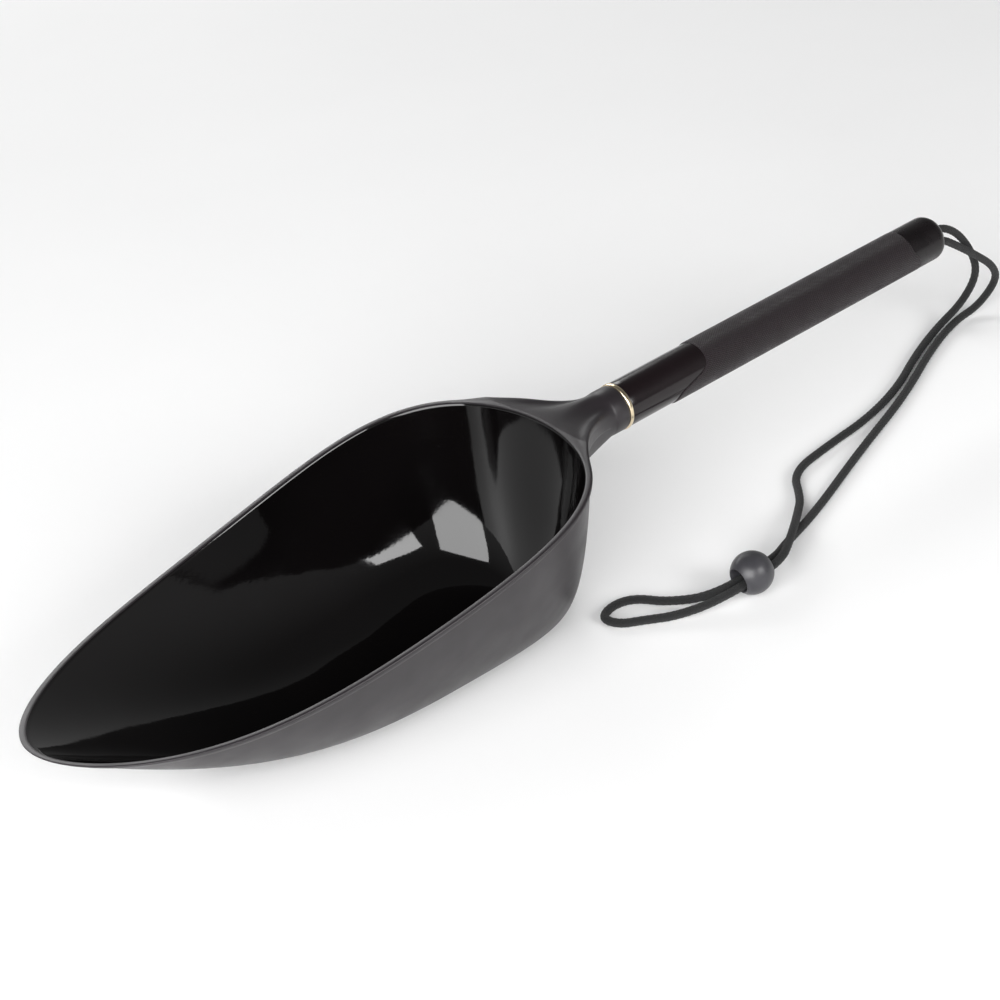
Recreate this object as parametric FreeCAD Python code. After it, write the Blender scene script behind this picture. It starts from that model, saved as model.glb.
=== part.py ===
"""Bait scoop with a screw-on handle and a wrist lanyard.

Frame: the scoop rests on its bowl on the plane z = 0, the handle axis runs along +X at
z = AXIS_Z, the tip of the bowl points to -X. The origin is at the centre of the footprint
of the scoop and handle, on that plane. Millimetres throughout.
"""
import FreeCAD
import Part
import math
import os
from FreeCAD import Vector

# ---- Driving dimensions -------------------------------------------------------------
AXIS_Z = 68.0              # height of the handle axis above the resting plane
NECK_END_X = 50.0          # end face of the neck, where the handle's brass ring seats
OVERALL_BUTT_X = 272.0     # outermost point of the handle's end cap

OPENING_TIP_X = -268.7     # inside edge of the opening at the tip
OPENING_LENGTH = 271.7     # inside length of the opening
OPENING_HALF_WIDTH = 66.5  # inside half width at the middle of the opening
FULLNESS = (0.19, 0.32, 0.16, -0.13)   # how the outline swells from the tip to the back
RIM_TIP_Z = 55.6           # height of the rim at the tip
RIM_SWEEP = (-33.3, 108.6, -47.6)      # dip at the front and rise to the back, as a cubic

WALL = 2.5                 # bowl wall
FLOOR = 3.2                # bowl floor
LIP_OUT = 0.9              # how far the rolled lip stands out of the wall
LIP_TALL = 3.2
REST = (-64.0, 50.0, 15.0)         # flat underneath: centre in x, half length, half width
INNER_REST = (-76.0, 38.0, 9.0)    # flat inside: smaller, so the inner corners are rounder
FLARE_TIP, FLARE_SIDE, FLARE_BACK = 1.9, 3.0, 4.0   # 1 is a straight wall, 4 a steep one
BOWL_HEIGHTS = (0, 0.6, 2.5, 6, 12, 20, 32, 46, 60, 74, 90, 106)
LIP_HEIGHTS = (32, 46, 60, 74, 90, 106)
RING_POINTS = 36

SHOULDER_TOP = ((14, 81.0), (28, 78.0), (40, 75.3), (60, 73.5))   # side view, x and z
NECK_R = 11.0              # round end of the neck
NECK_ROOT_R = 13.0
NECK_COLLAR = 8.0
THREAD_R = 9.525 / 2       # 3/8 inch stud
THREAD_PITCH = 1.27
THREAD_OUT = 12.0          # how far the stud stands out of the neck
ANCHOR_R, ANCHOR_LONG = 5.5, 16.0
RUNNING_GAP = 0.05         # radial clearance of the screw joint

RING_R, RING_THICK = 11.35, 2.2
TUBE_R, TUBE_BORE_R = 11.0, 9.5
INSERT_R, INSERT_LONG = 6.5, 22.0
SLEEVE_R = 11.5
SLEEVE_START_X = 92.0
SLEEVE_END_X = 248.0
CAP_CORNER = 6.2           # rounding of the domed end
CAP_PLUG = 12.0
CAP_FACE = 8.5             # thickness of the end that holds the knot back
CAP_HOLE_R = 5.2
KNOT_SPACE_R = 7.4
KNOT_X, KNOT_R = 256.8, 6.3

CORD_R = 2.0               # braided cord, 4 mm
ARC_SHARE = 0.45           # part of the shorter run that each bend takes up
BEAD_CENTRE = Vector(51.0, -81.5, 11.0)
BEAD_AXIS = Vector(-0.985, 0.125, -0.12).normalize()
BEAD_R, BEAD_BORE_R = 10.0, 5.2
BEAD_MOUTH_R, BEAD_MOUTH_DEEP = 6.1, 2.0

# Points of the lanyard: out of the cap, down to the plane, through the bead, round the
# wrist loop and back through the bead into the cap.
LANYARD = [(260, 1.2, 69.8), (276, 1.4, 70.3), (293, 3, 61.5), (308, 5.5, 44), (317, 8.5, 26),
           (310, 13.5, 10), (292, 15.5, 2.1), (262, 4.5, 2.1), (231, -10.5, 2.1),
           (198, -19.5, 2.1), (166, -22, 2.1), (137, -26, 2.1), (122, -45, 2.1),
           (108, -56, 4.6), (96, -65.5, 8.2), (84, -74, 9.8), (65.5, -85.5, 10.9),
           (31, -81.1, 6.7), (14, -71, 2.6), (2, -61, 2.1), (-7, -55, 2.1), (-9, -45.5, 2.1),
           (1, -41.5, 2.1), (12, -45, 2.1), (19, -60, 2.6), (31.6, -76.8, 6.7),
           (66, -81.2, 10.9), (88, -67, 2.3), (118, -58.5, 2.1), (172, -37.5, 2.1),
           (226, -19, 2.1), (273, 3, 2.1), (303, 13, 2.1), (321, 12, 4), (331, 7.5, 16.5),
           (323, 3, 29.5), (304, -0.5, 44.5), (288, -1.7, 56.5), (275, -1.4, 65.5),
           (260, -1.2, 66.2)]

AXIS_X = Vector(1, 0, 0)


# ---- Bowl ---------------------------------------------------------------------------
def swell(t):
    a, b, c, d = FULLNESS
    return math.exp(a * t + b * t**2 + c * t**3 + d * t**4)


def rim_z(x):
    """Height of the rim over the length of the bowl."""
    s = (x - OPENING_TIP_X) / OPENING_LENGTH
    a, b, c = RIM_SWEEP
    return RIM_TIP_Z + a * s + b * s**2 + c * s**3


def opening_point(angle, outwards):
    """Point of the opening's outline in plan, moved outwards. Angle 0 is the tip."""
    def plan(angle):
        t = -math.cos(angle)
        x = OPENING_TIP_X + OPENING_LENGTH * (1 + t) / 2
        return x, OPENING_HALF_WIDTH * math.sin(angle) * swell(t)
    step = 0.001
    x, y = plan(angle)
    x1, y1 = plan(angle + step)
    along = math.hypot(x1 - x, y1 - y)
    return x - outwards * (y1 - y) / along, y + outwards * (x1 - x) / along


def bowl_ring(height, outwards, floor_z, rest):
    """Level curve of the bowl at a height over its flat, wider above the rim."""
    centre, half_length, half_width = rest
    points = []
    for i in range(RING_POINTS):
        angle = 2 * math.pi * i / RING_POINTS
        t = -math.cos(angle)
        rx, ry = opening_point(angle, outwards)
        spread = outwards / 2
        bx = centre + (half_length + spread) * t
        by = (half_width + spread) * math.sin(angle)
        end = FLARE_TIP if t < 0 else FLARE_BACK
        flare = FLARE_SIDE + (end - FLARE_SIDE) * t * t
        level = (height / (rim_z(rx) - floor_z)) ** (1 / flare)
        points.append(Vector(bx + (rx - bx) * level, by + (ry - by) * level, floor_z + height))
    curve = Part.BSplineCurve()
    curve.interpolate(points, PeriodicFlag=True)
    return Part.Wire([curve.toShape()])


def bowl_body(outwards, floor_z, heights, rest=REST):
    rings = [bowl_ring(height, outwards, floor_z, rest) for height in heights]
    return Part.makeLoft(rings, True, False)


def rim_profile(drop):
    """Side view of the rim and the shoulder, lowered by drop, from the tip to the neck."""
    xs = [OPENING_TIP_X - 12 + i * (OPENING_LENGTH + 12) / 8 for i in range(9)]
    points = [Vector(x, 0, rim_z(x) - drop) for x in xs]
    points += [Vector(x, 0, z - drop) for x, z in SHOULDER_TOP]
    curve = Part.BSplineCurve()
    curve.interpolate(points)
    return curve.toShape()


def slab(drop_top, drop_bottom):
    """Solid under the rim surface, between two depths, wider than the bowl."""
    half_wide = 120.0
    top = rim_profile(drop_top)
    bottom = rim_profile(drop_bottom)
    ends = [Part.makeLine(top.Vertexes[i].Point, bottom.Vertexes[i].Point) for i in (0, 1)]
    wire = Part.Wire(Part.__sortEdges__([top, ends[0], bottom, ends[1]]))
    face = Part.Face(wire)
    face.translate(Vector(0, -half_wide, 0))
    return face.extrude(Vector(0, 2 * half_wide, 0))


def shoulder_section(x, half_width, edge_z, bottom_z):
    """D-shaped section of the shoulder: a flat top, upright edges and a round underside."""
    top_z = 100.0
    depth = edge_z - bottom_z
    centre = Vector(x, 0, edge_z)
    left, right = Vector(x, -half_width, edge_z), Vector(x, half_width, edge_z)
    low = Vector(x, 0, edge_z - depth)
    k = math.sqrt(0.5)
    mid_left = Vector(x, -half_width * k, edge_z - depth * k)
    mid_right = Vector(x, half_width * k, edge_z - depth * k)
    under = Part.BSplineCurve()
    under.interpolate([left, mid_left, low, mid_right, right],
                      InitialTangent=Vector(0, 0, -1), FinalTangent=Vector(0, 0, 1))
    top_left, top_right = Vector(x, -half_width, top_z), Vector(x, half_width, top_z)
    return Part.Wire([Part.makeLine(top_left, left), under.toShape(),
                      Part.makeLine(right, top_right), Part.makeLine(top_right, top_left)])


def shoulder():
    """Triangular shoulder that runs from the back of the bowl into the neck."""
    stations = ((-34, 58.0, 72.0, 44.0), (-18, 50.0, 74.5, 38.0), (-4, 39.0, 76.0, 36.0),
                (10, 27.5, 75.5, 40.0), (22, 19.5, 73.0, 45.0), (34, 14.5, 70.0, 51.0),
                (44, 11.3, 68.0, 56.3))
    return Part.makeLoft([shoulder_section(*s) for s in stations], True, False)


def neck():
    root_x = -10.0
    cone = Part.makeCone(NECK_ROOT_R, NECK_R, NECK_END_X - NECK_COLLAR - root_x,
                         Vector(root_x, 0, AXIS_Z - 2), AXIS_X)
    return cone.fuse(rod(NECK_R, NECK_END_X - NECK_COLLAR - 6, NECK_END_X))


def scoop():
    inside = bowl_body(0, FLOOR, BOWL_HEIGHTS, INNER_REST)
    under_rim = slab(0, 110)
    blank = bowl_body(WALL, 0, BOWL_HEIGHTS).fuse(shoulder()).common(under_rim)
    lip = bowl_body(WALL + LIP_OUT, 0, LIP_HEIGHTS).common(slab(0, LIP_TALL))
    whole = blank.fuse([lip, neck()]).cut(inside)
    whole = whole.cut(rod(ANCHOR_R, NECK_END_X - ANCHOR_LONG, NECK_END_X))
    return max(whole.Solids, key=lambda solid: solid.Volume)


# ---- Handle -------------------------------------------------------------------------
def rod(radius, x0, x1):
    """Round bar on the handle axis."""
    return Part.makeCylinder(radius, x1 - x0, Vector(x0, 0, AXIS_Z), AXIS_X)


def tube(outer, inner, x0, x1):
    return rod(outer, x0, x1).cut(rod(inner, x0, x1))


def neck_stud():
    """Brass stud: a round anchor moulded into the neck, and the threaded end."""
    anchor = rod(ANCHOR_R, NECK_END_X - ANCHOR_LONG, NECK_END_X)
    return anchor.fuse(rod(THREAD_R, NECK_END_X, NECK_END_X + THREAD_OUT))


def handle_insert():
    """Brass threaded insert: its flange is the ring between neck and handle."""
    flange_end = NECK_END_X + RING_THICK
    body = rod(RING_R, NECK_END_X, flange_end)
    body = body.fuse(rod(INSERT_R, flange_end, NECK_END_X + INSERT_LONG))
    return body.cut(rod(THREAD_R + RUNNING_GAP, NECK_END_X, NECK_END_X + INSERT_LONG))


def handle_tube():
    """Thin tube, thicker where it holds the threaded insert."""
    insert_end = NECK_END_X + INSERT_LONG
    root = tube(TUBE_R, INSERT_R, NECK_END_X + RING_THICK, insert_end)
    return root.fuse(tube(TUBE_R, TUBE_BORE_R, insert_end, SLEEVE_END_X)).removeSplitter()


def grip_sleeve():
    return tube(SLEEVE_R, TUBE_R, SLEEVE_START_X, SLEEVE_END_X)


def butt_cap():
    """Domed end cap: a plug in the tube, room for the knot and a hole for the lanyard."""
    x0, x1 = SLEEVE_END_X, OVERALL_BUTT_X
    top, shoulder_z = AXIS_Z + SLEEVE_R, AXIS_Z + SLEEVE_R - CAP_CORNER
    start, end = x1 - CAP_CORNER, CAP_CORNER * math.sqrt(0.5)
    corners = [Vector(x0, 0, AXIS_Z), Vector(x0, 0, top), Vector(start, 0, top)]
    profile = [Part.makeLine(a, b) for a, b in zip(corners, corners[1:])]
    profile += [Part.Arc(corners[-1], Vector(start + end, 0, shoulder_z + end),
                         Vector(x1, 0, shoulder_z)).toShape(),
                Part.makeLine(Vector(x1, 0, shoulder_z), Vector(x1, 0, AXIS_Z)),
                Part.makeLine(Vector(x1, 0, AXIS_Z), corners[0])]
    dome = Part.Face(Part.Wire(profile)).revolve(Vector(0, 0, AXIS_Z), AXIS_X, 360)
    cap = dome.fuse(rod(TUBE_BORE_R, x0 - CAP_PLUG, x0))
    cap = cap.cut(rod(KNOT_SPACE_R, x0 - CAP_PLUG, x1 - CAP_FACE))
    return cap.cut(rod(CAP_HOLE_R, x0 - CAP_PLUG, x1))


# ---- Lanyard ------------------------------------------------------------------------
def cord_path(points):
    """Straight runs joined by tangent arcs. Returns the wire and the arcs' radii."""
    edges, radii = [], []
    start = points[0]
    for before, corner, after in zip(points, points[1:], points[2:]):
        back, ahead = before - corner, after - corner
        reach = ARC_SHARE * min(back.Length, ahead.Length)
        back.normalize()
        ahead.normalize()
        half_turn = (math.pi - back.getAngle(ahead)) / 2
        radius = reach / math.tan(half_turn)
        inner = (back + ahead).normalize()
        middle = corner + inner * (math.hypot(radius, reach) - radius)
        entry, leave = corner + back * reach, corner + ahead * reach
        edges.append(Part.LineSegment(start, entry).toShape())
        edges.append(Part.Arc(entry, middle, leave).toShape())
        radii.append(radius)
        start = leave
    edges.append(Part.LineSegment(start, points[-1]).toShape())
    return Part.Wire(edges), radii


def lanyard_cord():
    points = [Vector(*p) for p in LANYARD]
    path, radii = cord_path(points)
    section = Part.Wire(Part.makeCircle(CORD_R, points[0], points[1] - points[0]))
    cord = path.makePipeShell([section], True, False)
    print("cord radii", [round(r, 1) for r in radii], "length", round(path.Length, 1))
    print("cord volume", round(cord.Volume, 1), "of", round(math.pi * CORD_R**2 * path.Length, 1))
    return cord


def lanyard_knot():
    return Part.makeSphere(KNOT_R, Vector(KNOT_X, 0, AXIS_Z))


def cord_bead():
    """Ball with a bore for both strands, its mouths opened out."""
    half = math.sqrt(BEAD_R**2 - BEAD_MOUTH_R**2)
    left, right = Vector(-half, 0, BEAD_MOUTH_R), Vector(half, 0, BEAD_MOUTH_R)
    bore_half = half - BEAD_MOUTH_DEEP
    bore = [right, Vector(bore_half, 0, BEAD_BORE_R), Vector(-bore_half, 0, BEAD_BORE_R), left]
    profile = [Part.Arc(left, Vector(0, 0, BEAD_R), right).toShape()]
    profile += [Part.makeLine(a, b) for a, b in zip(bore, bore[1:])]
    ball = Part.Face(Part.Wire(profile)).revolve(Vector(0, 0, 0), AXIS_X, 360)
    ball.Placement = FreeCAD.Placement(BEAD_CENTRE, FreeCAD.Rotation(AXIS_X, BEAD_AXIS))
    return ball


PIECES = {
    "scoop": scoop,
    "neck_stud": neck_stud,
    "handle_insert": handle_insert,
    "handle_tube": handle_tube,
    "grip_sleeve": grip_sleeve,
    "butt_cap": butt_cap,
    "lanyard_cord": lanyard_cord,
    "lanyard_knot": lanyard_knot,
    "cord_bead": cord_bead,
}

os.makedirs("parts", exist_ok=True)
for name, make in PIECES.items():
    shape = make()
    shape.exportStep("parts/" + name + ".step")
    print(name, shape.isValid(), len(shape.Solids), round(shape.Volume / 1000, 1), "cm3", shape.BoundBox)
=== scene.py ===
"""Bait scoop with a screw-on handle and a wrist lanyard: the visual model and its studio."""
import math
import bpy
import numpy as np
from mathutils import Matrix, Vector


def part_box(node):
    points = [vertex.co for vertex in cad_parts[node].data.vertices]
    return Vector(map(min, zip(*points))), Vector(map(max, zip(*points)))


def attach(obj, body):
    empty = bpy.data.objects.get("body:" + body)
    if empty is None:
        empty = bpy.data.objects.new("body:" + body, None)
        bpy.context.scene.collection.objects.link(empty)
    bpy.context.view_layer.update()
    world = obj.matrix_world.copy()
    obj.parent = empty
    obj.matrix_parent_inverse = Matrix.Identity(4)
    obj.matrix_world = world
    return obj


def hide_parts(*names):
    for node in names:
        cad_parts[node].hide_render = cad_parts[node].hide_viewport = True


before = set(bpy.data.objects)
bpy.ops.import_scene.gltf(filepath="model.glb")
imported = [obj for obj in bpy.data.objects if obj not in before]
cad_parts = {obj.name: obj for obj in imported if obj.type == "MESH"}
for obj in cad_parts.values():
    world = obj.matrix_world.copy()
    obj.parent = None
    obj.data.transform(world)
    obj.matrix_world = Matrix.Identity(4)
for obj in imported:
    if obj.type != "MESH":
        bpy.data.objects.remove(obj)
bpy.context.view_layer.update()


mm = 0.001

# ---- Camera -------------------------------------------------------------------------
CAMERA_AT = (-0.6405, -0.7879, 0.6500)
CAMERA_RIGHT = (0.7425, -0.6617, -0.1044)
CAMERA_FORWARD = (0.5303, 0.6758, -0.5119)
camera = bpy.data.objects.new("camera", bpy.data.cameras.new("camera"))
bpy.context.scene.collection.objects.link(camera)
camera.data.lens = 94.28
camera.data.sensor_width = 36
right = Vector(CAMERA_RIGHT).normalized()
forward = Vector(CAMERA_FORWARD).normalized()
up = right.cross(forward).normalized()
turn = Matrix((right, up, -forward)).transposed().to_4x4()
camera.matrix_world = Matrix.Translation(CAMERA_AT) @ turn
bpy.context.scene.camera = camera


# ---- Node materials -----------------------------------------------------------------
class Shade:
    """A Principled material and short names for the nodes that feed it."""

    def __init__(self, name, colour, roughness, **sockets):
        self.material = bpy.data.materials.new(name)
        self.material.use_nodes = True
        self.tree = self.material.node_tree
        self.shader = self.tree.nodes["Principled BSDF"]
        self.shader.inputs["Base Color"].default_value = (*colour, 1)
        self.shader.inputs["Roughness"].default_value = roughness
        for socket, value in sockets.items():
            self.shader.inputs[socket.replace("_", " ")].default_value = value
        self.coords = self.node("ShaderNodeTexCoord")

    def node(self, kind, **settings):
        node = self.tree.nodes.new(kind)
        for key, value in settings.items():
            setattr(node, key, value)
        return node

    def link(self, source, target):
        self.tree.links.new(source, target)

    def noise(self, scale, detail=4.0, source="Object", stretch=None):
        node = self.node("ShaderNodeTexNoise")
        node.inputs["Scale"].default_value = scale
        node.inputs["Detail"].default_value = detail
        vector = self.coords.outputs[source]
        if stretch:
            mapping = self.node("ShaderNodeMapping")
            mapping.inputs["Scale"].default_value = stretch
            self.link(vector, mapping.inputs["Vector"])
            vector = mapping.outputs["Vector"]
        self.link(vector, node.inputs["Vector"])
        return node.outputs["Fac"]

    def remap(self, value, low, high, start=0.3, end=0.7):
        node = self.node("ShaderNodeMapRange")
        for socket, number in (("From Min", start), ("From Max", end), ("To Min", low), ("To Max", high)):
            node.inputs[socket].default_value = number
        self.link(value, node.inputs["Value"])
        return node.outputs["Result"]

    def maths(self, operation, *values):
        node = self.node("ShaderNodeMath", operation=operation)
        for socket, value in zip(node.inputs, values):
            if isinstance(value, (int, float)):
                socket.default_value = value
            else:
                self.link(value, socket)
        return node.outputs[0]

    def colours(self, value, dark, light):
        node = self.node("ShaderNodeMix", data_type="RGBA")
        node.inputs["A"].default_value = (*dark, 1)
        node.inputs["B"].default_value = (*light, 1)
        self.link(value, node.inputs["Factor"])
        self.link(node.outputs["Result"], self.shader.inputs["Base Color"])

    def rough(self, value, low, high, start=0.3, end=0.7):
        self.link(self.remap(value, low, high, start, end), self.shader.inputs["Roughness"])

    def bump(self, *layers):
        """Each layer is (height value, distance in metres)."""
        normal = None
        for value, distance in layers:
            node = self.node("ShaderNodeBump")
            node.inputs["Strength"].default_value = 1
            node.inputs["Distance"].default_value = distance
            self.link(value, node.inputs["Height"])
            if normal:
                self.link(normal, node.inputs["Normal"])
            normal = node.outputs["Normal"]
        self.link(normal, self.shader.inputs["Normal"])

    def handle_angle(self):
        """x, and the angle round the handle's axis."""
        shifted = self.node("ShaderNodeVectorMath", operation="SUBTRACT")
        self.link(self.coords.outputs["Object"], shifted.inputs[0])
        shifted.inputs[1].default_value = (0, 0, axis_z)
        parts = self.node("ShaderNodeSeparateXYZ")
        self.link(shifted.outputs[0], parts.inputs[0])
        return parts.outputs["X"], self.maths("ARCTAN2", parts.outputs["Z"], parts.outputs["Y"])


axis_z = (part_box("handle_tube")[0].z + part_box("handle_tube")[1].z) / 2


def satin_plastic():
    shade = Shade("scoop_satin", (0.019, 0.0165, 0.018), 0.4, Specular_IOR_Level=0.5)
    cloud, grain = shade.noise(14, 3), shade.noise(2600, 2)
    shade.colours(shade.remap(cloud, 0, 1), (0.0115, 0.0090, 0.0108), (0.0165, 0.0132, 0.0156))
    shade.rough(shade.noise(60, 4), 0.36, 0.46)
    shade.bump((grain, 0.00003), (cloud, 0.0004))
    return shade.material


def gloss_plastic():
    shade = Shade("scoop_gloss", (0.002, 0.0018, 0.0019), 0.05, Specular_IOR_Level=0.5)
    cloud = shade.noise(9, 2)
    shade.colours(shade.remap(cloud, 0, 1), (0.0012, 0.0010, 0.0011), (0.0032, 0.0026, 0.0027))
    shade.rough(shade.noise(45, 5), 0.03, 0.08)
    shade.bump((shade.noise(30, 1), 0.00025), (shade.noise(420, 2), 0.00001))
    return shade.material


def brass(name, colour, roughness):
    shade = Shade(name, colour, roughness, Metallic=1.0)
    lines = shade.noise(3, 6, stretch=(900, 12, 12))
    shade.colours(shade.remap(shade.noise(220, 3), 0, 1), tuple(0.86 * c for c in colour), colour)
    shade.rough(lines, roughness - 0.06, roughness + 0.10)
    shade.bump((lines, 0.00002))
    return shade.material


def lacquer():
    shade = Shade("handle_gloss", (0.006, 0.0035, 0.004), 0.16, Specular_IOR_Level=0.4,
                  Coat_Weight=0.1, Coat_Roughness=0.08)
    cloud = shade.noise(40, 3, stretch=(0.4, 1, 1))
    shade.colours(shade.remap(cloud, 0, 1), (0.0045, 0.0024, 0.0030), (0.0085, 0.0048, 0.0058))
    shade.rough(shade.noise(160, 4, stretch=(0.2, 1, 1)), 0.12, 0.24)
    shade.bump((shade.noise(700, 2, stretch=(0.15, 1, 1)), 0.00001))
    return shade.material


HATCH_PITCH = 0.0017          # metres along the handle
HATCH_DIAMONDS = 60           # round the handle


def grip_hatch():
    """Two sets of fine ridges that cross."""
    shade = Shade("grip_hatch", (0.011, 0.007, 0.009), 0.5, Specular_IOR_Level=0.35)
    x, angle = shade.handle_angle()
    along = shade.maths("MULTIPLY", x, math.pi / HATCH_PITCH)
    around = shade.maths("MULTIPLY", angle, HATCH_DIAMONDS / 2)
    one = shade.maths("ABSOLUTE", shade.maths("SINE", shade.maths("ADD", along, around)))
    two = shade.maths("ABSOLUTE", shade.maths("SINE", shade.maths("SUBTRACT", along, around)))
    ridge = shade.maths("MULTIPLY", one, two)
    # Colour follows the ridge height: painted shade darkens the grooves between the diamonds, and the diamond
    # tops are lighter.
    shade.colours(shade.remap(ridge, 0, 1, 0.0, 0.8), (0.003, 0.0015, 0.002), (0.020, 0.0125, 0.0155))
    shade.rough(shade.noise(90, 3), 0.34, 0.48)
    shade.bump((ridge, 0.00035), (shade.noise(3000, 2), 0.00003))
    return shade.material


def smooth_cap():
    shade = Shade("cap_plastic", (0.012, 0.009, 0.010), 0.26, Specular_IOR_Level=0.35)
    shade.colours(shade.remap(shade.noise(80, 3), 0, 1), (0.0035, 0.0024, 0.0028), (0.0060, 0.0042, 0.0048))
    shade.rough(shade.noise(120, 4), 0.22, 0.32)
    shade.bump((shade.noise(1500, 2), 0.00002))
    return shade.material


def braid():
    """Yarn lines inside each plait, laid out on the tube's own map."""
    shade = Shade("cord_braid", (0.004, 0.004, 0.0045), 0.72, Sheen_Weight=0.04, Sheen_Roughness=0.5)
    parts = shade.node("ShaderNodeSeparateXYZ")
    shade.link(shade.coords.outputs["UV"], parts.inputs[0])
    along = shade.maths("MULTIPLY", parts.outputs["X"], 2 * math.pi * 8)
    around = shade.maths("MULTIPLY", parts.outputs["Y"], 2 * math.pi * 24)
    yarn = shade.maths("MULTIPLY", shade.maths("SINE", shade.maths("ADD", along, around)),
                       shade.maths("SINE", shade.maths("SUBTRACT", along, around)))
    fuzz = shade.noise(2200, 3)
    # Colour follows the yarn's height, as the bump does: painted shade darkens the sunken yarn, and the
    # raised yarn is lighter.
    shade.colours(shade.remap(yarn, 0, 1, -1, 1), (0.0018, 0.0018, 0.0020), (0.0090, 0.0090, 0.0096))
    shade.rough(fuzz, 0.62, 0.82)
    shade.bump((yarn, 0.00008), (fuzz, 0.00008))
    return shade.material


def bead_plastic():
    shade = Shade("bead_plastic", (0.06, 0.06, 0.063), 0.34)
    shade.colours(shade.remap(shade.noise(110, 4), 0, 1), (0.030, 0.0295, 0.0335), (0.042, 0.041, 0.046))
    shade.rough(shade.noise(200, 4), 0.28, 0.42)
    shade.bump((shade.noise(1800, 2), 0.00003))
    return shade.material


# ---- Mesh helpers -------------------------------------------------------------------
def piece(name, body, nodes, points, faces, materials, face_slots=None, uvs=None):
    """Points in millimetres in the frame of the CAD model."""
    mesh = bpy.data.meshes.new(name)
    mesh.from_pydata((np.asarray(points, float) * mm).tolist(), [], faces)
    for material in materials:
        mesh.materials.append(material)
    mesh.polygons.foreach_set("use_smooth", [True] * len(mesh.polygons))
    if face_slots is not None:
        mesh.polygons.foreach_set("material_index", face_slots)
    if uvs is not None:
        layer = mesh.uv_layers.new(name="map")
        layer.data.foreach_set("uv", np.asarray(uvs, float)[:, :2].ravel())
    mesh.validate()
    mesh.update()
    thing = bpy.data.objects.new(name, mesh)
    bpy.context.scene.collection.objects.link(thing)
    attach(thing, body)
    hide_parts(*nodes)
    return thing


def grid_faces(rows, columns, wrap_rows=False, first=0):
    """Quads of a grid of points that closes round its columns."""
    faces = []
    for r in range(rows if wrap_rows else rows - 1):
        for c in range(columns):
            a, b = first + r * columns, first + ((r + 1) % rows) * columns
            n = (c + 1) % columns
            faces.append((a + c, a + n, b + n, b + c))
    return faces


def turned(name, body, nodes, profile, material, segments=96, place=None, closed=True,
           warp=None):
    """Solid of revolution about the handle's axis. The profile lists x and radius."""
    angle = np.linspace(0, 2 * math.pi, segments, endpoint=False)
    points = []
    for x, radius in profile:
        ring = np.stack([np.full(segments, x), radius * np.cos(angle), radius * np.sin(angle)], 1)
        points.append(ring if warp is None else warp(ring, angle))
    points = np.concatenate(points)
    points = points + (0, 0, axis_z / mm) if place is None else points @ place[0].T + place[1]
    faces = grid_faces(len(profile), segments, wrap_rows=closed)
    return piece(name, body, nodes, points, faces, [material])


# ---- Scoop --------------------------------------------------------------------------
OPENING_TIP_X, OPENING_LENGTH, OPENING_HALF_WIDTH = -268.7, 271.7, 66.5
FULLNESS = (0.19, 0.32, 0.16, -0.13)
RIM_TIP_Z, RIM_SWEEP = 55.6, (-33.3, 108.6, -47.6)
WALL, FLOOR = 2.5, 3.2
REST = (-64.0, 50.0, 15.0)                       # flat underneath: centre, half length, half width
INNER_REST = (-76.0, 38.0, 9.0)                  # the floor inside has rounder corners
FLARE_TIP, FLARE_SIDE, FLARE_BACK = 1.9, 3.0, 4.0
NECK_X, NECK_R = 41.0, 11.0
AROUND = 288
SHOULDER_SPOKES = 20                             # each side of the back
BORE_R, BORE_END_X = 5.5, 34.0                   # the neck's bore for the stud's anchor


def rim_z(x):
    s = (x - OPENING_TIP_X) / OPENING_LENGTH
    return RIM_TIP_Z + RIM_SWEEP[0] * s + RIM_SWEEP[1] * s**2 + RIM_SWEEP[2] * s**3


def top_z(x):
    """Height of the shoulder's plate, which carries on from the rim."""
    back = np.interp(x, [-20, -8, 3, 10, 16, 22, 28, 34, 40, 60],
                     [rim_z(-20.0), rim_z(-8.0), 83.1, 81.9, 80.7, 79.3, 77.9, 76.6, 75.4, 74.0])
    return np.where(x < -8, rim_z(x), back)


def opening(angle, out):
    def outline(angle):
        t = -np.cos(angle)
        a, b, c, d = FULLNESS
        swell = np.exp(a * t + b * t**2 + c * t**3 + d * t**4)
        x = OPENING_TIP_X + OPENING_LENGTH * (1 + t) / 2
        return x, OPENING_HALF_WIDTH * np.sin(angle) * swell
    x, y = outline(angle)
    x1, y1 = outline(angle + 0.001)
    along = np.hypot(x1 - x, y1 - y)
    return x - out * (y1 - y) / along, y + out * (x1 - x) / along, (x1 - x) / along, (y1 - y) / along


def wall(angle, out, floor_z, level=None, drop=None, rest=REST):
    """Points of the bowl's surface at a level from 0 to 1, or at a drop below the rim."""
    t = -np.cos(angle)
    rx, ry, _, _ = opening(angle, out)
    bx = rest[0] + (rest[1] + out / 2) * t
    by = (rest[2] + out / 2) * np.sin(angle)
    flare = FLARE_SIDE + (np.where(t < 0, FLARE_TIP, FLARE_BACK) - FLARE_SIDE) * t * t
    tall = rim_z(rx) - floor_z
    if level is None:
        level = ((tall - drop) / tall) ** (1 / flare)
    points = np.stack([bx + (rx - bx) * level, by + (ry - by) * level, floor_z + tall * level**flare], 1)
    return points, level


def bezier(p0, p1, p2, p3, s):
    return ((1 - s) ** 3 * p0 + 3 * (1 - s) ** 2 * s * p1 + 3 * (1 - s) * s**2 * p2 + s**3 * p3)


def smooth_step(value):
    value = np.clip(value, 0, 1)
    return value * value * (3 - 2 * value)


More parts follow.
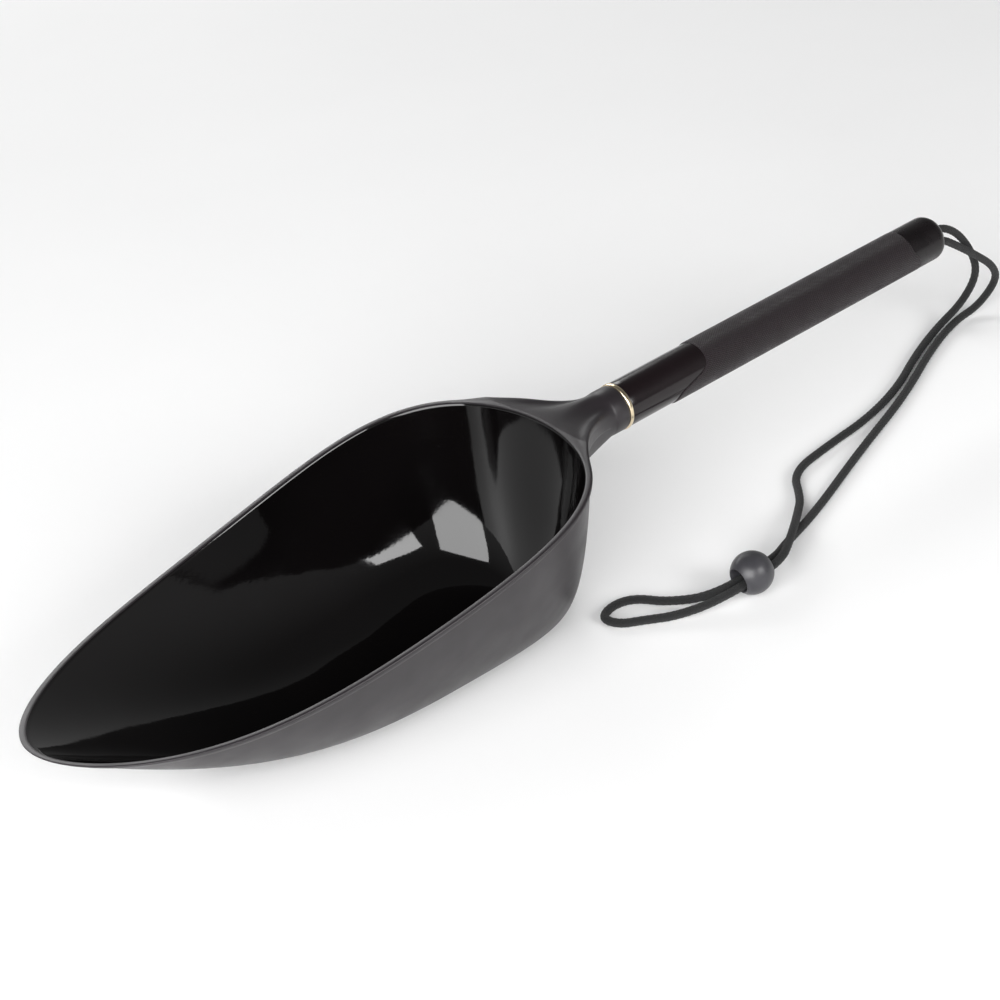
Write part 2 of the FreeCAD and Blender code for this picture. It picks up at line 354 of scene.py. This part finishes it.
def build_scoop():
    angle = np.arange(AROUND) * 2 * math.pi / AROUND
    half = SHOULDER_SPOKES
    first, last = AROUND // 2 - half, AROUND // 2 + half
    v = np.clip((np.arange(AROUND) - AROUND // 2) / half, -1, 1)
    deep = 10 + 34 * (1 - v * v) ** 1.2          # how far down the shoulder's root goes

    rows, glossy = [], []

    def row(points, gloss=False):
        rows.append(points)
        glossy.append(gloss)

    # inside, from the middle of the floor up to the rim
    flat, _ = wall(angle, 0, FLOOR, level=0, rest=INNER_REST)
    centre_in = np.array([INNER_REST[0], 0, FLOOR])
    for share in (0.02, 0.2, 0.45, 0.7, 0.88):
        row(centre_in + (flat - centre_in) * share, True)
    _, top_level = wall(angle, 0, FLOOR, drop=1.1)
    for q in np.linspace(0, 1, 56):
        level = top_level * math.sin(q * math.pi / 2)
        row(wall(angle, 0, FLOOR, level=level, rest=INNER_REST)[0], True)
    # rounded rim, its lip and the step below the lip
    for out, drop in ((0.05, 0.7), (0.25, 0.3), (0.6, 0.06), (1.0, 0.0)):
        row(wall(angle, out, 0, drop=drop)[0], out < 0.2)
    plate_row = len(rows) - 1
    for out, drop in ((1.9, 0.0), (2.6, 0.05), (3.05, 0.25), (3.32, 0.65), (3.4, 1.1), (3.4, 2.0),
                      (3.35, 2.5), (3.1, 2.95), (2.8, 3.2), (2.6, 3.35), (2.5, 3.7)):
        row(wall(angle, out, 0, drop=drop)[0])
    # outside
    for share in np.linspace(0, 1, 10):
        row(wall(angle, WALL, 0, drop=4.2 + (deep - 4.2) * share**1.3)[0])
    root_row = len(rows) - 1
    _, root_level = wall(angle, WALL, 0, drop=deep)
    start = np.arcsin(root_level) * 2 / math.pi
    for q in np.linspace(1, 0, 46)[1:]:
        row(wall(angle, WALL, 0, level=np.sin(start * q * math.pi / 2))[0])
    flat, _ = wall(angle, WALL, 0, level=0)
    centre_out = np.array([REST[0], 0, 0])
    for share in (0.85, 0.6, 0.3, 0.02):
        row(centre_out + (flat - centre_out) * share)

    points = [p for r in rows for p in r]
    faces, slots = [], []
    for r in range(len(rows) - 1):
        for c in range(AROUND):
            if plate_row <= r < root_row and first <= c < last:
                continue
            n = (c + 1) % AROUND
            faces.append((r * AROUND + c, r * AROUND + n, (r + 1) * AROUND + n, (r + 1) * AROUND + c))
            slots.append(1 if glossy[r] else 0)
    for r, centre in ((0, centre_in), (len(rows) - 1, centre_out)):
        points.append(centre)
        for c in range(AROUND):
            a, b = r * AROUND + c, r * AROUND + (c + 1) % AROUND
            faces.append((a, len(points) - 1, b) if r == 0 else (a, b, len(points) - 1))
            slots.append(1 if r == 0 else 0)

    # the edge of the opening left in the bowl, once round, and where each point goes on the neck
    loop, around_neck = [], []
    top_turn, side_turn = math.radians(62), math.radians(100)
    deep_rows = root_row - plate_row
    for c in range(first, last):
        loop.append((plate_row, c))
        around_neck.append(top_turn * (1 - (c - first) / half))
    for r in range(plate_row, root_row):
        loop.append((r, last))
        around_neck.append(-top_turn - (side_turn - top_turn) * (r - plate_row) / deep_rows)
    for c in range(last, first, -1):
        loop.append((root_row, c))
        around_neck.append(-side_turn - (2 * math.pi - 2 * side_turn) * (last - c) / (2 * half))
    for r in range(root_row, plate_row, -1):
        loop.append((r, first))
        around_neck.append(-2 * math.pi + side_turn - (side_turn - top_turn) * (root_row - r) / deep_rows)
    around_neck = np.array(around_neck)
    edge = np.array([points[r * AROUND + c] for r, c in loop])
    index = np.array([c for r, c in loop])
    under = np.array([1.0 if r == root_row else 0.0 for r, c in loop])
    side = np.abs(v[index])
    _, _, tx, ty = opening(angle[index], 0)
    sign = np.where(index <= AROUND // 2, 1.0, -1.0)
    tangent = np.stack([tx * sign, ty * sign, 0.12 * tx * sign], 1)
    tangent[index == AROUND // 2] = (1, 0, 0)
    ahead = np.stack([np.full(len(loop), 1.0), -edge[:, 1] / 60, np.zeros(len(loop))], 1)
    ahead /= np.linalg.norm(ahead, axis=1)[:, None]
    top_dir = ahead * (1 - side[:, None] ** 1.5) + tangent * side[:, None] ** 1.5
    below = wall(angle[index], WALL, 0, drop=deep[index] + 1.0)[0]
    climb = edge - below
    climb /= np.maximum(np.linalg.norm(climb, axis=1), 1e-6)[:, None]
    keep = smooth_step(side)[:, None]
    root_dir = climb * 11 * (1 - keep) + tangent * 22 * keep
    reach = 9 + 13 * side
    lead = np.where(under[:, None] > 0, root_dir, top_dir * reach[:, None])
    target = np.stack([np.full(len(loop), NECK_X), NECK_R * 0.985 * np.sin(around_neck),
                       axis_z / mm + NECK_R * 0.985 * np.cos(around_neck)], 1)
    low = np.clip(-np.cos(around_neck), 0, 1)
    back_off = np.stack([np.full(len(loop), -13.0), 0.9 * np.sin(around_neck) * (1 - low), -5.5 * low], 1)
    p1, p2 = edge + lead, target + back_off
    q = under * (1 - smooth_step((side - 0.45) / 0.55))

    steps = 34
    strands = []
    lip_drop = np.where(under > 0, deep[index], top_z(edge[:, 0]) - edge[:, 2])
    for k in range(1, steps + 1):
        s = k / steps
        at = bezier(edge, p1, p2, target, s)
        w = smooth_step((at[:, 0] - 12) / (NECK_X - 12))
        fade = np.where(under > 0, (1 - s) ** 1.4, 1 - w)
        sheet = top_z(at[:, 0]) + (target[:, 2] - top_z(np.full(len(loop), NECK_X))) * w - lip_drop * fade
        start_error = edge[:, 2] - (top_z(edge[:, 0]) - lip_drop)
        sheet = sheet + start_error * (1 - s) ** 2
        flute = np.where(np.abs(around_neck) <= top_turn, np.sin(math.pi * around_neck / top_turn) ** 2, 0)
        sheet = sheet - 2.1 * flute * (6.75 * s**2 * (1 - s))
        at[:, 2] = at[:, 2] * q + sheet * (1 - q)
        strands.append(at)
    for x, radius in ((41.5, 10.84), (42.0, 10.95), (42.5, 11.0), (49.3, 11.0), (49.8, 10.85), (50.0, 10.5),
                      (50.0, 8.0), (50.0, 5.55), (49.0, BORE_R), (BORE_END_X, BORE_R), (BORE_END_X, 0.2)):
        strands.append(np.stack([np.full(len(loop), x), radius * np.sin(around_neck),
                                 axis_z / mm + radius * np.cos(around_neck)], 1))
    before = [r * AROUND + c for r, c in loop]
    count = len(loop)
    for strand in strands:
        start_at = len(points)
        points.extend(strand)
        here = list(range(start_at, start_at + count))
        for k in range(count):
            n = (k + 1) % count
            faces.append((before[k], before[n], here[n], here[k]))
            slots.append(0)
        before = here
    points.append(np.array([BORE_END_X, 0, axis_z / mm]))
    for k in range(count):
        faces.append((before[k], before[(k + 1) % count], len(points) - 1))
        slots.append(0)
    return piece("scoop_shell", "scoop", ["scoop"], np.array(points), faces,
                 [satin_plastic(), gloss_plastic()], slots)


build_scoop()

# ---- Stud, ring and handle ----------------------------------------------------------
THREAD_R, PITCH, THREAD_DEPTH = 4.76, 1.27, 0.62


def threaded(ring, angle):
    """Cuts a thread into a ring of a turned piece that stands out of the neck."""
    x = ring[:, 0]
    radius = np.hypot(ring[:, 1], ring[:, 2])
    phase = (x / PITCH - angle / (2 * math.pi)) % 1
    groove = np.clip(1.35 * np.abs(2 * phase - 1) - 0.15, 0, 1)
    run = np.clip((x - 50.6) / 0.6, 0, 1) * np.where(radius > 4.0, 1, 0)
    radius = radius - THREAD_DEPTH * groove * run
    return np.stack([x, radius * np.cos(angle), radius * np.sin(angle)], 1)


def stud_profile():
    profile = [(34.0, 0.3), (34.0, 5.1), (34.4, 5.5)]
    for k in range(5):                           # grooves that key the anchor into the neck
        x = 36 + 2.6 * k
        profile += [(x, 5.5), (x + 0.3, 5.0), (x + 0.9, 5.0), (x + 1.2, 5.5)]
    profile += [(49.6, 5.5), (49.9, 5.4), (50.0, 5.1), (50.0, 4.9), (50.1, 4.5)]
    profile += [(x, THREAD_R) for x in np.arange(50.4, 61.2, PITCH / 10)]
    profile += [(61.3, 4.6), (61.9, 4.0), (62.0, 3.6), (62.0, 0.3)]
    return profile


turned("threaded_stud", "scoop", ["neck_stud"], stud_profile(),
       brass("brass_turned", (0.78, 0.58, 0.28), 0.3), 64, warp=threaded)

ring_profile = [(50.0, 5.5), (50.0, 10.7), (50.1, 11.05), (50.4, 11.3), (50.65, 11.35), (51.6, 11.35),
                (51.9, 11.28), (52.15, 11.0), (52.2, 10.6), (52.2, 6.6), (52.6, 6.45)]
for k in range(7):
    x = 54 + 2.4 * k
    ring_profile += [(x, 6.45), (x + 0.3, 6.1), (x + 1.0, 6.1), (x + 1.3, 6.45)]
ring_profile += [(71.6, 6.4), (72.0, 6.0), (72.0, 5.3), (71.5, 4.82), (50.7, 4.82)]
turned("brass_ring", "handle", ["handle_insert"], ring_profile,
       brass("brass_polished", (0.92, 0.78, 0.55), 0.2), 128)

tube_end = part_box("handle_tube")[1].x / mm
turned("handle_barrel", "handle", ["handle_tube"],
       [(72.0, 9.5), (72.0, 6.5), (52.2, 6.55), (52.2, 10.7), (52.35, 10.92), (52.7, 11.0)]
       + [(x, 11.0) for x in np.linspace(56, tube_end - 1, 30)]
       + [(tube_end, 10.9), (tube_end, 9.5)], lacquer(), 128)


def sleeve_ends(ring, angle):
    """The hatched sleeve starts and stops on a curve: later at the top, earlier underneath."""
    high = np.sin(angle)
    start = 91.5 + 10 * np.tanh(3.2 * high)
    end = 249.0 - 3.6 * np.tanh(2.6 * high)
    return np.stack([start + ring[:, 0] * (end - start), ring[:, 1], ring[:, 2]], 1)


sleeve_profile = [(0.0, 10.99), (0.0006, 11.22), (0.002, 11.4), (0.0042, 11.5)]
sleeve_profile += [(x, 11.5) for x in np.linspace(0.012, 0.99, 60)]
sleeve_profile += [(0.997, 11.48), (0.9992, 11.42), (1.0, 11.25), (1.0, 10.99)]
turned("hatched_sleeve", "handle", ["grip_sleeve"], sleeve_profile, grip_hatch(), 192,
       warp=sleeve_ends)

cap_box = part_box("butt_cap")
cap_end = cap_box[1].x / mm
CAP_R, CORNER = 11.38, 6.4
cap_profile = [(245.0, 10.99), (245.0, 11.15), (245.3, 11.32), (246.0, CAP_R)]
cap_profile += [(x, CAP_R) for x in np.linspace(248, cap_end - CORNER - 0.6, 8)]
cap_profile += [(cap_end - CORNER + CORNER * math.sin(a), CAP_R - CORNER + CORNER * math.cos(a))
                for a in np.linspace(0, math.pi / 2, 18)[1:-1]]
cap_profile += [(cap_end, 4.9), (cap_end - 0.12, 4.55), (cap_end - 0.5, 4.3), (cap_end - 1.2, 4.2),
                (cap_end - 8.0, 4.2), (cap_end - 8.5, 7.3), (246.0, 7.3), (246.0, 9.4)]
turned("domed_cap", "handle", ["butt_cap"], cap_profile, smooth_cap(), 128)

# ---- Lanyard ------------------------------------------------------------------------
CORD_R = 2.0 * mm
CORD_STEP = 0.00042           # between rings of the mesh
PLAIT_LONG, PLAITS = 0.0030, 8
ROUTE = [(0.260, 0.0012, 0.0698), (0.276, 0.0014, 0.0703), (0.293, 0.003, 0.0615),
         (0.308, 0.0055, 0.044), (0.317, 0.0085, 0.026), (0.310, 0.0135, 0.010),
         (0.292, 0.0155, 0.0021), (0.262, 0.0045, 0.0021), (0.231, -0.0105, 0.0021),
         (0.198, -0.0195, 0.0021), (0.166, -0.022, 0.0021), (0.137, -0.026, 0.0021),
         (0.122, -0.045, 0.0021), (0.108, -0.056, 0.0046), (0.096, -0.0655, 0.0082),
         (0.084, -0.074, 0.0098), (0.0655, -0.0855, 0.0109), (0.031, -0.0811, 0.0067),
         (0.014, -0.071, 0.0026), (0.002, -0.061, 0.0021), (-0.007, -0.055, 0.0021),
         (-0.009, -0.0455, 0.0021), (0.001, -0.0415, 0.0021), (0.012, -0.045, 0.0021),
         (0.019, -0.060, 0.0026), (0.0316, -0.0768, 0.0067), (0.066, -0.0812, 0.0109),
         (0.088, -0.067, 0.0023), (0.118, -0.0585, 0.0021), (0.172, -0.0375, 0.0021),
         (0.226, -0.019, 0.0021), (0.273, 0.003, 0.0021), (0.303, 0.013, 0.0021),
         (0.321, 0.012, 0.004), (0.331, 0.0075, 0.0165), (0.323, 0.003, 0.0295),
         (0.304, -0.0005, 0.0445), (0.288, -0.0017, 0.0565), (0.275, -0.0014, 0.0655),
         (0.260, -0.0012, 0.0662)]


def nurbs_line(route):
    """Points along the NURBS curve that the route controls."""
    data = bpy.data.curves.new("route", "CURVE")
    data.dimensions = "3D"
    spline = data.splines.new("NURBS")
    spline.points.add(len(route) - 1)
    for point, at in zip(spline.points, route):
        point.co = (*at, 1)
    spline.order_u = 3
    spline.use_endpoint_u = True
    spline.resolution_u = 24
    holder = bpy.data.objects.new("route", data)
    bpy.context.scene.collection.objects.link(holder)
    bpy.context.view_layer.update()
    line = bpy.data.meshes.new_from_object(holder)
    points = np.array([v.co for v in line.vertices], float)
    bpy.data.objects.remove(holder)
    bpy.data.meshes.remove(line)
    return points


def even_spacing(points, step):
    run = np.r_[0, np.cumsum(np.linalg.norm(np.diff(points, axis=0), axis=1))]
    at = np.linspace(0, run[-1], int(run[-1] / step) + 1)
    return np.stack([np.interp(at, run, points[:, i]) for i in range(3)], 1), at


def frames_along(points):
    """A pair of directions across the line at each point, carried along without twist."""
    ahead = np.gradient(points, axis=0)
    ahead /= np.linalg.norm(ahead, axis=1)[:, None]
    side = np.cross(ahead[0], (0, 0, 1.0))
    side /= np.linalg.norm(side)
    sides = []
    for direction in ahead:
        side = side - direction * (side @ direction)
        side /= np.linalg.norm(side)
        sides.append(side)
    sides = np.array(sides)
    return sides, np.cross(ahead, sides)


def plait(along, around):
    """Height of a plain braid: 8 plaits each way, each over one and under one."""
    a, b = along + around, along - around
    over = (np.floor(a) + np.floor(b)) % 2 == 0
    across = np.sin(math.pi * (a % 1))
    down = np.sin(math.pi * (b % 1))
    return np.where(over, across * down**0.4, down * across**0.4)


def build_cord():
    line = nurbs_line(ROUTE)
    points, run = even_spacing(line, CORD_STEP)
    side, over = frames_along(points)
    segments = 32
    angle = np.arange(segments) * 2 * math.pi / segments
    height = plait(run[:, None] / PLAIT_LONG, angle[None, :] * PLAITS / (2 * math.pi))
    radius = CORD_R - 0.00016 + 0.00022 * height
    tube = (points[:, None, :] + radius[:, :, None] * (np.cos(angle)[None, :, None] * side[:, None, :]
            + np.sin(angle)[None, :, None] * over[:, None, :])).reshape(-1, 3)
    faces, uvs = [], []
    for r in range(len(points) - 1):
        for c in range(segments):
            n = (c + 1) % segments
            faces.append((r * segments + c, (r + 1) * segments + c, (r + 1) * segments + n, r * segments + n))
            u0, u1, v0, v1 = run[r] / 0.006, run[r + 1] / 0.006, c / segments, (c + 1) / segments
            uvs += [(u0, v0), (u1, v0), (u1, v1), (u0, v1)]
    ends = [tuple(range(segments)), tuple(reversed(range(len(tube) - segments, len(tube))))]
    faces += ends
    uvs += [(0, 0)] * (2 * segments)
    cord = piece("braided_cord", "lanyard", ["lanyard_cord"], tube / mm, faces,
                 [cord_material], uvs=uvs)
    return cord, line


cord_material = braid()
cord, cord_line = build_cord()


KNOT_RINGS = 120


def build_knot():
    """Overhand knot that ties both ends together inside the cap."""
    low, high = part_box("lanyard_knot")
    centre = np.array((low + high) / 2) / mm
    t = np.linspace(0, 2 * math.pi, KNOT_RINGS, endpoint=False)
    path = np.stack([1.5 * np.sin(3 * t), np.sin(t) + 2 * np.sin(2 * t), np.cos(t) - 2 * np.cos(2 * t)], 1)
    path = path * (1.5, 1.35, 1.35)
    ahead = np.roll(path, -1, 0) - np.roll(path, 1, 0)
    ahead /= np.linalg.norm(ahead, axis=1)[:, None]
    side = np.cross(ahead, path + 1e-3)
    side /= np.linalg.norm(side, axis=1)[:, None]
    over = np.cross(ahead, side)
    segments = 20
    angle = np.arange(segments) * 2 * math.pi / segments
    height = plait(np.arange(KNOT_RINGS)[:, None] / 5, angle[None, :] * PLAITS / (2 * math.pi))
    radius = 1.8 + 0.15 * height
    tube = path[:, None, :] + radius[:, :, None] * (np.cos(angle)[None, :, None] * side[:, None, :]
                                                    + np.sin(angle)[None, :, None] * over[:, None, :])
    return piece("stopper_knot", "lanyard", ["lanyard_knot"], tube.reshape(-1, 3) + centre,
                 grid_faces(KNOT_RINGS, segments, wrap_rows=True), [cord_material])


def build_bead():
    low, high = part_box("cord_bead")
    centre = np.array((low + high) / 2) / mm
    direction = Vector((-0.985, 0.125, -0.12)).normalized()
    turn = np.array(direction.to_track_quat("X", "Z").to_matrix())
    radius, bore = 10.0, 5.2
    mouth = 0.655                                # half angle where the ball meets the bore's mouth
    profile = [(radius * math.cos(a), radius * math.sin(a))
               for a in np.linspace(math.pi - mouth, mouth, 60)]
    parting = [(x, r - 0.05 * math.exp(-(x / 0.18) ** 2)) for x, r in profile]
    edge_x = radius * math.cos(mouth)
    flare = [(0.1, 5.92), (0.7, 5.55), (1.5, 5.28), (2.3, bore)]     # depth below the mouth, radius
    inner = [(edge_x - depth, r) for depth, r in flare] + [(0, bore)]
    inner += [(-edge_x + depth, r) for depth, r in reversed(flare)]
    return turned("sliding_bead", "bead", ["cord_bead"], parting + inner, bead_plastic(), 96,
                  place=(turn, centre))


knot = build_knot()
bead = build_bead()

# ---- Studio -------------------------------------------------------------------------
FLOOR_HALF = 8
floor_mesh = bpy.data.meshes.new("floor")
floor_mesh.from_pydata([(x * FLOOR_HALF, y * FLOOR_HALF, 0) for x, y in ((-1, -1), (1, -1), (1, 1), (-1, 1))],
                       [], [(0, 1, 2, 3)])
floor = bpy.data.objects.new("floor", floor_mesh)
bpy.context.scene.collection.objects.link(floor)
floor_shade = Shade("floor_paper", (0.93, 0.93, 0.93), 0.9, Specular_IOR_Level=0.1)
floor_shade.colours(floor_shade.remap(floor_shade.noise(6, 3), 0, 1),
                    (0.925, 0.925, 0.925), (0.94, 0.94, 0.94))
floor_mesh.materials.append(floor_shade.material)


def softbox(name, at, aim, wide, tall, power):
    data = bpy.data.lights.new(name, "AREA")
    data.shape = "RECTANGLE"
    data.size, data.size_y, data.energy = wide, tall, power
    light = bpy.data.objects.new(name, data)
    bpy.context.scene.collection.objects.link(light)
    light.location = at
    light.rotation_euler = (Vector(aim) - Vector(at)).to_track_quat("-Z", "Y").to_euler()


softbox("main", (-1.50, -0.85, 0.85), (-0.01, 0.03, 0.02), 2.0, 1.35, 60)
softbox("right", (0.35, -1.90, 0.95), (-0.05, 0.04, 0.02), 1.1, 0.8, 24)
softbox("behind", (0.5, 2.3, 1.3), (0.0, 0.3, 0.0), 2.4, 1.0, 34)

world = bpy.data.worlds.new("studio")
world.use_nodes = True
sky = world.node_tree
place, height, fade = (sky.nodes.new(kind) for kind in
                       ("ShaderNodeTexCoord", "ShaderNodeSeparateXYZ", "ShaderNodeMapRange"))
for socket, number in (("From Min", 0.2), ("From Max", 0.8), ("To Min", 0.32), ("To Max", 0.10)):
    fade.inputs[socket].default_value = number
sky.links.new(place.outputs["Generated"], height.inputs[0])
sky.links.new(height.outputs["Z"], fade.inputs["Value"])
sky.links.new(fade.outputs["Result"], sky.nodes["Background"].inputs["Strength"])
sky.nodes["Background"].inputs["Color"].default_value = (1, 1, 1, 1)
bpy.context.scene.world = world
bpy.context.scene.view_settings.view_transform = "Standard"
